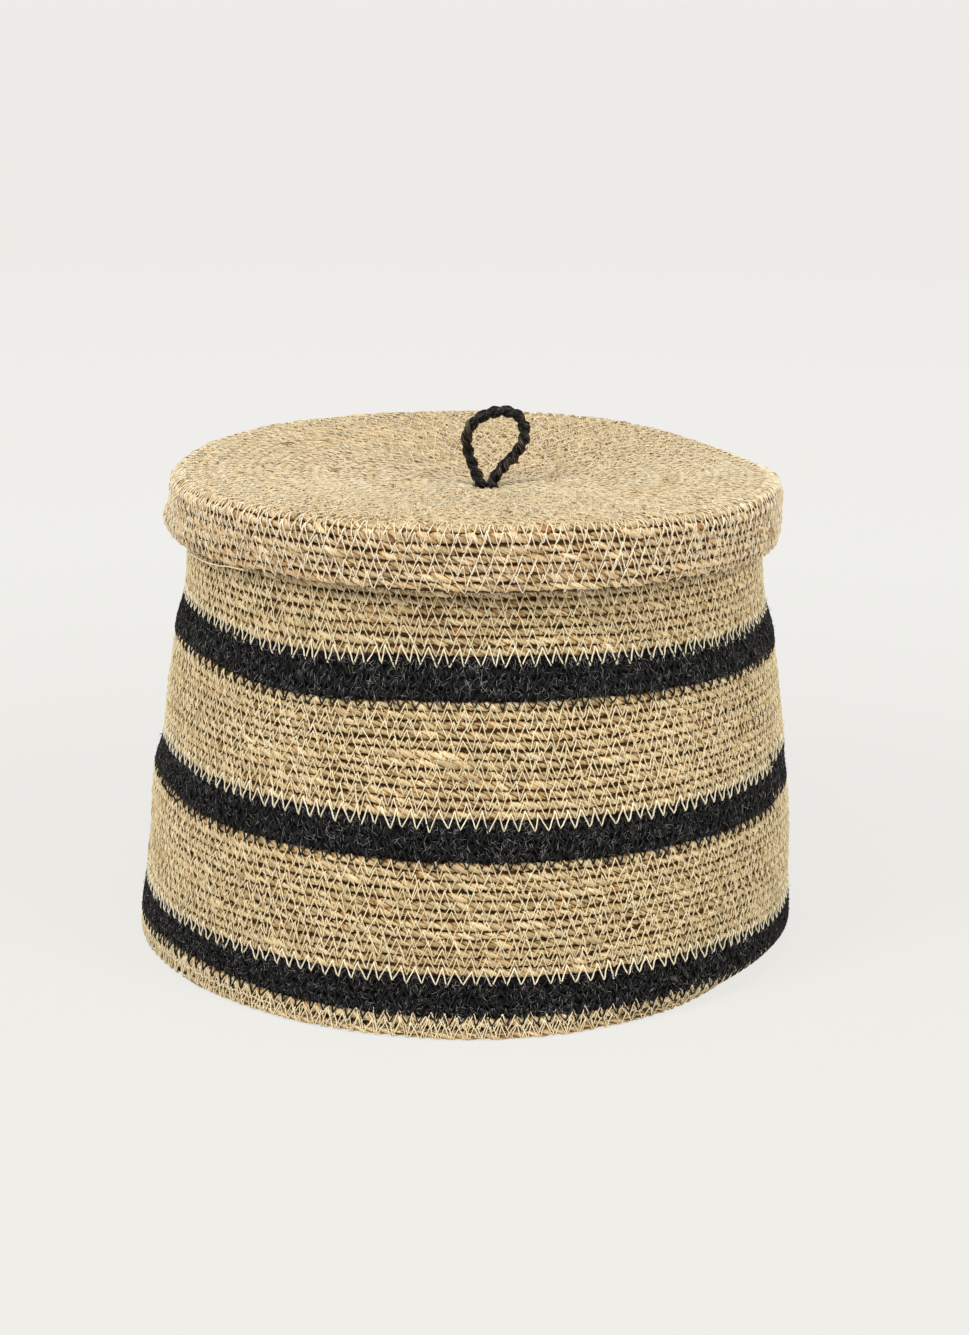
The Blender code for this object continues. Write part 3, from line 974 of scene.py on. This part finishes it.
NATURAL = natural_look("natural_seagrass")
# Painted shade: the lid's copy is a little darker all over
LID_NATURAL = natural_look("lid_seagrass", grey(0.98), 0.59, 0.02)
# Painted light: the skirt's copy is lighter, and also a little pinker in its own tone
SKIRT_NATURAL = natural_look("skirt_seagrass", (1.07, 1.045, 1.07))
BLACK = black_look()
# Painted shade: the dark brown of natural rope's inside, seen in the gaps between rows
NATURAL_CORE_SHADE = thread_look("natural_inside", (0.020, 0.009, 0.003), (0.12, 0.06, 0.018), 0.1)
BLACK_INSIDE = thread_look("black_inside", grey(0.003), (0.008, 0.008, 0.009), 0.1)
CREAM = thread_look("cream_thread", (0.74, 0.61, 0.37), (0.96, 0.86, 0.60))
STRAW = thread_look("straw_thread", (0.70, 0.57, 0.36), (0.94, 0.83, 0.58))
LID_CREAM = thread_look("lid_thread", (0.62, 0.52, 0.35), (0.82, 0.73, 0.54))
SKIRT_CREAM = thread_look("skirt_thread", (0.76, 0.65, 0.45), (0.95, 0.87, 0.69))
WHITE = thread_look("white_thread", (0.80, 0.71, 0.50), (0.98, 0.91, 0.71))
DYED = thread_look("black_thread", grey(0.003), (0.014, 0.014, 0.015), 0.25)
GREY_FIBRE = thread_look("grey_fibre", (0.008, 0.008, 0.009), grey(0.50), 0.2)
BLACK_FIBRE = thread_look("black_fibre", (0.008, 0.008, 0.009), (0.05, 0.05, 0.052), 0.3)
STRAW_FIBRE = thread_look("straw_fibre", (0.56, 0.46, 0.29), (0.78, 0.68, 0.48))
CORD = cord_look()


# Kinds of rope and thread


class Kind:
    """A look, and what differs from the values of its class."""

    def __init__(self, look, **values):
        self.look = look
        vars(self).update(values)


class Braid(Kind):
    """Rope. squareness is the power that squares its section, and rough how uneven it is.

    overlap is how far its rows reach into each other. The last four values are for its tones, the
    first three of them for its painted shade in seams and grooves.
    """

    inside = NATURAL_CORE_SHADE
    groove = 0.50
    squareness = 2.5
    overlap = 1.05
    rough = 1.0
    thickness = ROPE_THICKNESS
    step = ROPE_STEP
    seam_level = 0.55
    seam_shade = 1.0
    groove_shade = 1.0
    tint_spread = 1.0


class Thread(Kind):
    """Sewing thread. reach is in pitches, proud in radii, and seat is its rope's thickness."""

    radius = THREAD_RADIUS
    reach = STITCH_REACH
    proud = FLUSH
    seat = ROPE_THICKNESS


NATURAL_BRAID = Braid(NATURAL, groove=0.55, squareness=2.3, overlap=1.03, rough=1.1)
# Less painted shade in its grooves and seams, so the foot shows lighter
FOOT_BRAID = Braid(NATURAL, seam_level=0.25, groove_shade=0.6)
BLACK_BRAID = Braid(BLACK, inside=BLACK_INSIDE, groove=0.16, squareness=3.4, overlap=1.12, rough=0.4)
BASE_BRAID = Braid(
    NATURAL, groove=0.45, squareness=4.0, thickness=BASE_THICKNESS, step=0.0025, seam_shade=0.2
)
LID_BRAID = Braid(
    LID_NATURAL, groove=0.40, squareness=2.6, overlap=1.06, thickness=LID_THICKNESS,
    seam_level=0.12, groove_shade=0.45, tint_spread=0.3,
)
SKIRT_BRAID = Braid(SKIRT_NATURAL, rough=1.3, thickness=LID_THICKNESS, seam_level=0.36)

CREAM_THREAD = Thread(CREAM)
BASE_THREAD = Thread(CREAM, proud=SUNK)
STRAW_THREAD = Thread(STRAW, proud=0.8)
LID_THREAD = Thread(LID_CREAM, seat=LID_THICKNESS)
SKIRT_THREAD = Thread(SKIRT_CREAM, seat=LID_THICKNESS)
WHITE_THREAD = Thread(WHITE, radius=0.00038, proud=RAISED)
BLACK_THREAD = Thread(DYED, radius=0.00042, reach=0.78 * STITCH_REACH, proud=RAISED)

# What pieces ride on, and their material's slot
IN_NATURAL = "basket", "natural_braid"
IN_BLACK = "basket", "black_braid"
ON_LID = "lid", "natural_braid"
UNDER_LID = "lid", "handle_cord"


# Assembly


def dress(made, body, slot, *nodes):
    """Seats a finished piece on its body, in place of the CAD nodes that it stands for."""
    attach(made, body)
    if nodes:
        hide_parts(*nodes)


def dress_rope(title, spiral, first, last, kind, seed, body, slot, *nodes):
    dress(rope(f"{title}_rope", spiral, first, last, kind, seed), body, slot, *nodes)
    dress(rope_core(f"{title}_inside", spiral, first, last, kind, seed + 50), body, slot)


def sew(title, spiral, parts, seed, seat, outside=""):
    """Sews (first turn, last turn, thread) parts of a seam, outside and inside."""
    for part, (low, high, thread) in enumerate(parts):
        row = spiral, low, high, thread, seed + part
        dress(zigzag(f"{title}{outside}_{part + 1}", *row), *seat)
        dress(zigzag(f"{title}_inside_{part + 1}", *row, face=-1), *seat)


def fray_black(name, wall, first, last, seed):
    """Fuzz on a black length, and loose ends at its tufts and its two cuts."""
    dress(fibres(f"{name}_fuzz", wall, first, last, GREY_FIBRE, seed, **FUZZ), *IN_BLACK)
    tufts = [(part + 1, first + ahead, -1, 0, TUFT_FIBRES) for part, ahead in enumerate(TUFTS[name])]
    cuts = [("below", first, -1, -1, CUT_END_FIBRES), ("above", last, 1, 1, CUT_END_FIBRES)]
    for title, turn, heading, change, count in tufts + cuts:
        title = f"{name}_ends_{title}"
        dress(tuft(title, wall, turn, heading, BLACK_FIBRE, seed + change, count), *IN_BLACK)


def fray_natural(name, wall, first, turns, seed):
    """Hairs on a natural length, and its loose loop of thread, if any."""
    count = int(HAIRS_PER_TURN * turns)
    made = fibres(f"{name}_hairs", wall, first, first + turns, STRAW_FIBRE, seed, count, **HAIR)
    dress(made, *IN_NATURAL)
    if name in LOOSE_LOOPS:
        turn = first + LOOSE_LOOPS[name]
        dress(loose_loop(f"{name}_loose_loop", wall, turn, CREAM, seed), *IN_NATURAL)


def wall_seams(first, turns, thread):
    """The parts of a length's seams. Long ones start with white thread."""
    last = first + turns
    if turns < LONG_TURNS:
        return [(first, last, thread)]
    middle = (first + last) / 2
    white = first, first + 1.0, WHITE_THREAD
    return [white, (first + 1.0, middle, thread), (middle, last, thread)]


def build_wall():
    zero_angle = TAU * FOOT_TURNS + JOIN_ANGLE
    rows = [(turns, BLACK_PITCH if "black" in node else NATURAL_PITCH) for node, turns in WALL_LENGTHS]
    wall = Spiral(wall_profile(), WALL_FOOT, rows, zero_angle, basket_shape)
    first = 0.0
    for number, (node, turns) in enumerate(WALL_LENGTHS):
        name = node.replace("_band", "")
        if "black" in node:
            seat, kind, thread = IN_BLACK, BLACK_BRAID, BLACK_THREAD
            fray_black(name, wall, first, first + turns, FIBRE_SEED + number)
        else:
            seat, kind, thread = IN_NATURAL, NATURAL_BRAID if number else FOOT_BRAID, CREAM_THREAD
            fray_natural(name, wall, first, turns, FIBRE_SEED + number)
        dress_rope(name, wall, first, first + turns, kind, ROPE_SEED + number, *seat, node)
        seams = wall_seams(first, turns, thread)
        sew(f"{name}_stitches", wall, seams, STITCH_SEED + 10 * number, seat)
        first = first + turns
    seat = Spiral(wall_profile(), WALL_FOOT, [(3.0, NATURAL_PITCH)], zero_angle, basket_shape, False)
    for number, low in FOOT_SEAMS:
        row = seat, low, low + FOOT_SEAM_TURNS, STRAW_THREAD, STITCH_SEED + 90 + number
        dress(zigzag(f"foot_stitches_{number}", *row), *IN_NATURAL)


def build_base():
    turns = 1 + (BODY_RADIUS - TAIL_HEIGHT - BASE_START) / NATURAL_PITCH
    base = Spiral(base_profile(), BASE_START, [(turns, NATURAL_PITCH)], 0.0, basket_shape, False)
    dress_rope("base", base, 0.0, turns, BASE_BRAID, BASE_SEED, *IN_NATURAL, "base_disc")
    split = SEAM_SPLIT * turns
    seams = [(1.5, split, BASE_THREAD), (split, turns, BASE_THREAD)]
    sew("base_stitches", base, seams, BASE_SEED + 10, IN_NATURAL, "_below")


def build_lid():
    profile = lid_profile()
    start = HOLE_RADIUS - HOLE_OVERLAP + NATURAL_PITCH
    turns = 1 + (profile.place[-1] - start - TAIL_HEIGHT) / NATURAL_PITCH
    rows = [(turns, NATURAL_PITCH)]
    lid = Spiral(profile, start, rows, LID_END_ANGLE - TAU * turns, lid_shape, False, -1)
    edge = turns - SKIRT_TURNS
    dress_rope("lid_top", lid, 0.0, edge, LID_BRAID, LID_SEED, *ON_LID, "lid_top")
    dress_rope("lid_skirt", lid, edge, turns, SKIRT_BRAID, LID_SEED + 1, *ON_LID, "lid_skirt")
    made = fibres("lid_hairs", lid, 2.0, turns, STRAW_FIBRE, LID_SEED + 2, LID_HAIRS, **HAIR)
    dress(made, *ON_LID)
    split = SEAM_SPLIT * edge
    seams = [(1.0, split, LID_THREAD), (split, edge, LID_THREAD), (edge, turns, SKIRT_THREAD)]
    sew("lid_stitches", lid, seams, LID_SEED + 10, ON_LID)
    dress(hem_thread(lid, turns), *ON_LID)


# Handle


def spline(points, spacing):
    """Points at this spacing along a smooth curve through the given points."""
    points = np.asarray(points, float)
    ends = np.concatenate([[2 * points[0] - points[1]], points, [2 * points[-1] - points[-2]]])
    share = np.linspace(0.0, 1.0, 16, endpoint=False)[:, None]
    pieces = []
    for before, start, end, after in zip(ends, ends[1:], ends[2:], ends[3:]):
        slope, next_slope = (end - before) / 2, (after - start) / 2
        bend = 3 * (end - start) - 2 * slope - next_slope
        twist = 2 * (start - end) + slope + next_slope
        pieces.append(start + slope * share + bend * share**2 + twist * share**3)
    curve = np.concatenate([*pieces, points[-1:]])
    length = running(np.linalg.norm(np.diff(curve, axis=0), axis=1))
    even = np.linspace(0.0, length[-1], int(length[-1] / spacing) + 1)
    return np.stack([np.interp(even, length, curve[:, axis]) for axis in range(3)], axis=1), even


def frames(line, side):
    """Two directions across the line that turn as little as possible along it."""
    tangent = unit(np.gradient(line, axis=0))
    sides = []
    for direction in tangent:
        side = unit(side - direction * np.dot(side, direction))
        sides.append(side)
    return np.array(sides), np.cross(tangent, sides)


def twisted_cord(name, route, seed, radius=CORD_RADIUS, plies=PLIES):
    """A left-hand twisted cord of flattened plies along a route."""
    rng = np.random.default_rng(seed)
    line, along = spline(route, CORD_STEP)
    side, up = frames(line, np.array((0.0, 1.0, 0.0)))
    corner = TAU * np.arange(CORD_SIDES) / CORD_SIDES
    girth = TAU * radius * 0.6
    around = np.append(corner, TAU) / TAU * girth
    points, quads, triangles, maps = [], [], [], []
    swing = 0.7 * wander(rng, along, 0.03)
    for ply in range(plies):
        turn = -TAU * along / CORD_LAY + TAU * ply / plies + swing
        reach = radius * (0.40 + 0.07 * wander(rng, along, 0.007)) * (plies > 1)
        size = radius * (0.62 + 0.07 * wander(rng, along, 0.005))
        cos, sin = np.cos(turn)[:, None], np.sin(turn)[:, None]
        out, round_it = cos * side + sin * up, -sin * side + cos * up
        centre = line + reach[:, None] * out
        folds = np.stack([wander(rng, along, 0.006) for _ in range(CORD_SIDES)], axis=1)
        body = size[:, None] * (1.0 + 0.17 * folds)
        tall, wide = 0.92 * body * np.cos(corner), 1.12 * body * np.sin(corner)
        ring = centre[:, None] + tall[..., None] * out[:, None] + wide[..., None] * round_it[:, None]
        faces, caps = tube_faces(len(line), CORD_SIDES)
        shift = ply * (len(line) * CORD_SIDES + 2)
        points.append(np.concatenate([ring.reshape(-1, 3), centre[[0, -1]]]))
        quads.append(faces + shift)
        triangles.append(caps + shift)
        maps.append(lay_map(along, around + 1.5 * ply * girth))
    strips = strip_map(plies * (len(line) - 1), CORD_SIDES, CORD_STEP / girth)
    points, *faces, lay = [np.concatenate(part) for part in (points, quads, triangles, maps)]
    return make_object(name, points, *faces, CORD, {"lay": lay, "OFBake": strips})


def from_foot(across, deep, up):
    """A point in space, given in metres from the handle's foot, where the cord enters the lid."""
    foot = lid_shape(np.array([0.0, 0.0, lid_surface(0.0)]))
    return HANDLE_PLACE + across, deep, foot[2] + up


def build_loop():
    route = []
    for across, up in LOOP_LINE:
        sway = LOOP_SWAY * math.sin(0.13 * up + 0.5 * (across > 0)) * (up > 0)
        route.append(from_foot(across / 1000, sway, up / 1000))
    loop = twisted_cord("handle_cord_loop", route, CORD_SEED)
    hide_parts("handle_loop")
    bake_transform(loop)
    stub = [from_foot(across / 1000, 0.0, up / 1000) for across, up in STUB_LINE]
    made = twisted_cord("handle_cord_stub", stub, CORD_SEED + 2, STUB_RADIUS, 1)
    dress(made, "handle", "handle_cord")


def build_knot():
    """Two tails and two turns of the cord, hidden under the lid."""
    for tail, side in enumerate((-1, 1)):
        route = [
            from_foot(side * (0.001 + 0.0018 * step), 0.0008 * side * step, -TAIL_DEPTH - 0.001 * step)
            for step in range(5)
        ]
        dress(twisted_cord(f"handle_knot_tail_{tail + 1}", route, CORD_SEED + 10 + tail), *UNDER_LID)
    route = []
    for turn in np.linspace(0.0, KNOT_TURNS, 16 * KNOT_TURNS + 1):
        swing = KNOT_RADIUS + KNOT_RIPPLE * math.sin(3 * TAU * turn)
        across = swing * math.cos(TAU * turn) * KNOT_STRETCH
        down = KNOT_DEPTH + KNOT_HEIGHT * turn / KNOT_TURNS
        route.append(from_foot(across, swing * math.sin(TAU * turn), -down))
    made = twisted_cord("handle_knot_turns", route, CORD_SEED + 1)
    dress(made, *UNDER_LID, "handle_knot")


# Studio


def add_lamp(name, place, size, power, colour):
    data = bpy.data.lights.new(name, "AREA")
    data.shape = "DISK"
    data.size, data.energy, data.color = size, power, colour
    lamp = link(bpy.data.objects.new(name, data))
    turn = (Vector(place) - Vector(AIM)).to_track_quat("Z", "Y")
    lamp.matrix_world = Matrix.Translation(place) @ turn.to_matrix().to_4x4()


def floor_look():
    """A pale floor that keeps the object's shadow and otherwise shows the studio's even tone."""
    look = new_look("pale_floor")
    look.feed(look.shader, {"Base Color": (0.83, 0.815, 0.79, 1.0), "Roughness": 0.9})
    away = look.add("ShaderNodeVectorMath", {0: look.place()}, operation="LENGTH").outputs["Value"]

    def fade(near):
        """This value round the object, easing to 1 further away."""
        inputs = {"Value": away, 1: SHADOW_START, 2: SHADOW_END, 3: near, 4: 1.0}
        made = look.add("ShaderNodeMapRange", inputs, interpolation_type="SMOOTHSTEP")
        return made.outputs["Result"]

    tone = look.ramp(look.scaled(away, 0.25, 0.0), [(0.25, BACKDROP), (0.7, FAR_FLOOR)])
    glow = look.add("ShaderNodeEmission", {"Color": tone, "Strength": fade(FLOOR_STRENGTH)})
    share = look.scaled(look.from_camera(), fade(FLOOR_GLOW), 0.0)
    look.show_camera(share, glow, "Material Output")
    return look.owner


def add_floor():
    corners = FLOOR_REACH * np.array([(-1, -1, 0), (1, -1, 0), (1, 1, 0), (-1, 1, 0)], float)
    none = np.zeros((0, 3), int)
    floor = make_object("floor", corners, np.array([[0, 1, 2, 3]]), none, floor_look(), {})
    floor.location.z = -FLOOR_DROP


def add_world():
    bpy.context.scene.world = bpy.data.worlds.new("studio")
    look = Look(bpy.context.scene.world, "Background")
    look.feed(look.shader, {"Color": (1.0, 0.99, 0.97, 1.0), "Strength": 0.24})
    shown = look.add("ShaderNodeBackground", {"Color": (*BACKDROP, 1.0)})
    look.show_camera(look.from_camera(), shown, "World Output")


def build_studio():
    for lamp in LAMPS:
        add_lamp(*lamp)
    add_floor()
    add_world()
    bpy.context.scene.view_settings.view_transform = "Standard"


build_wall()
build_base()
build_lid()
build_loop()
build_knot()
build_studio()
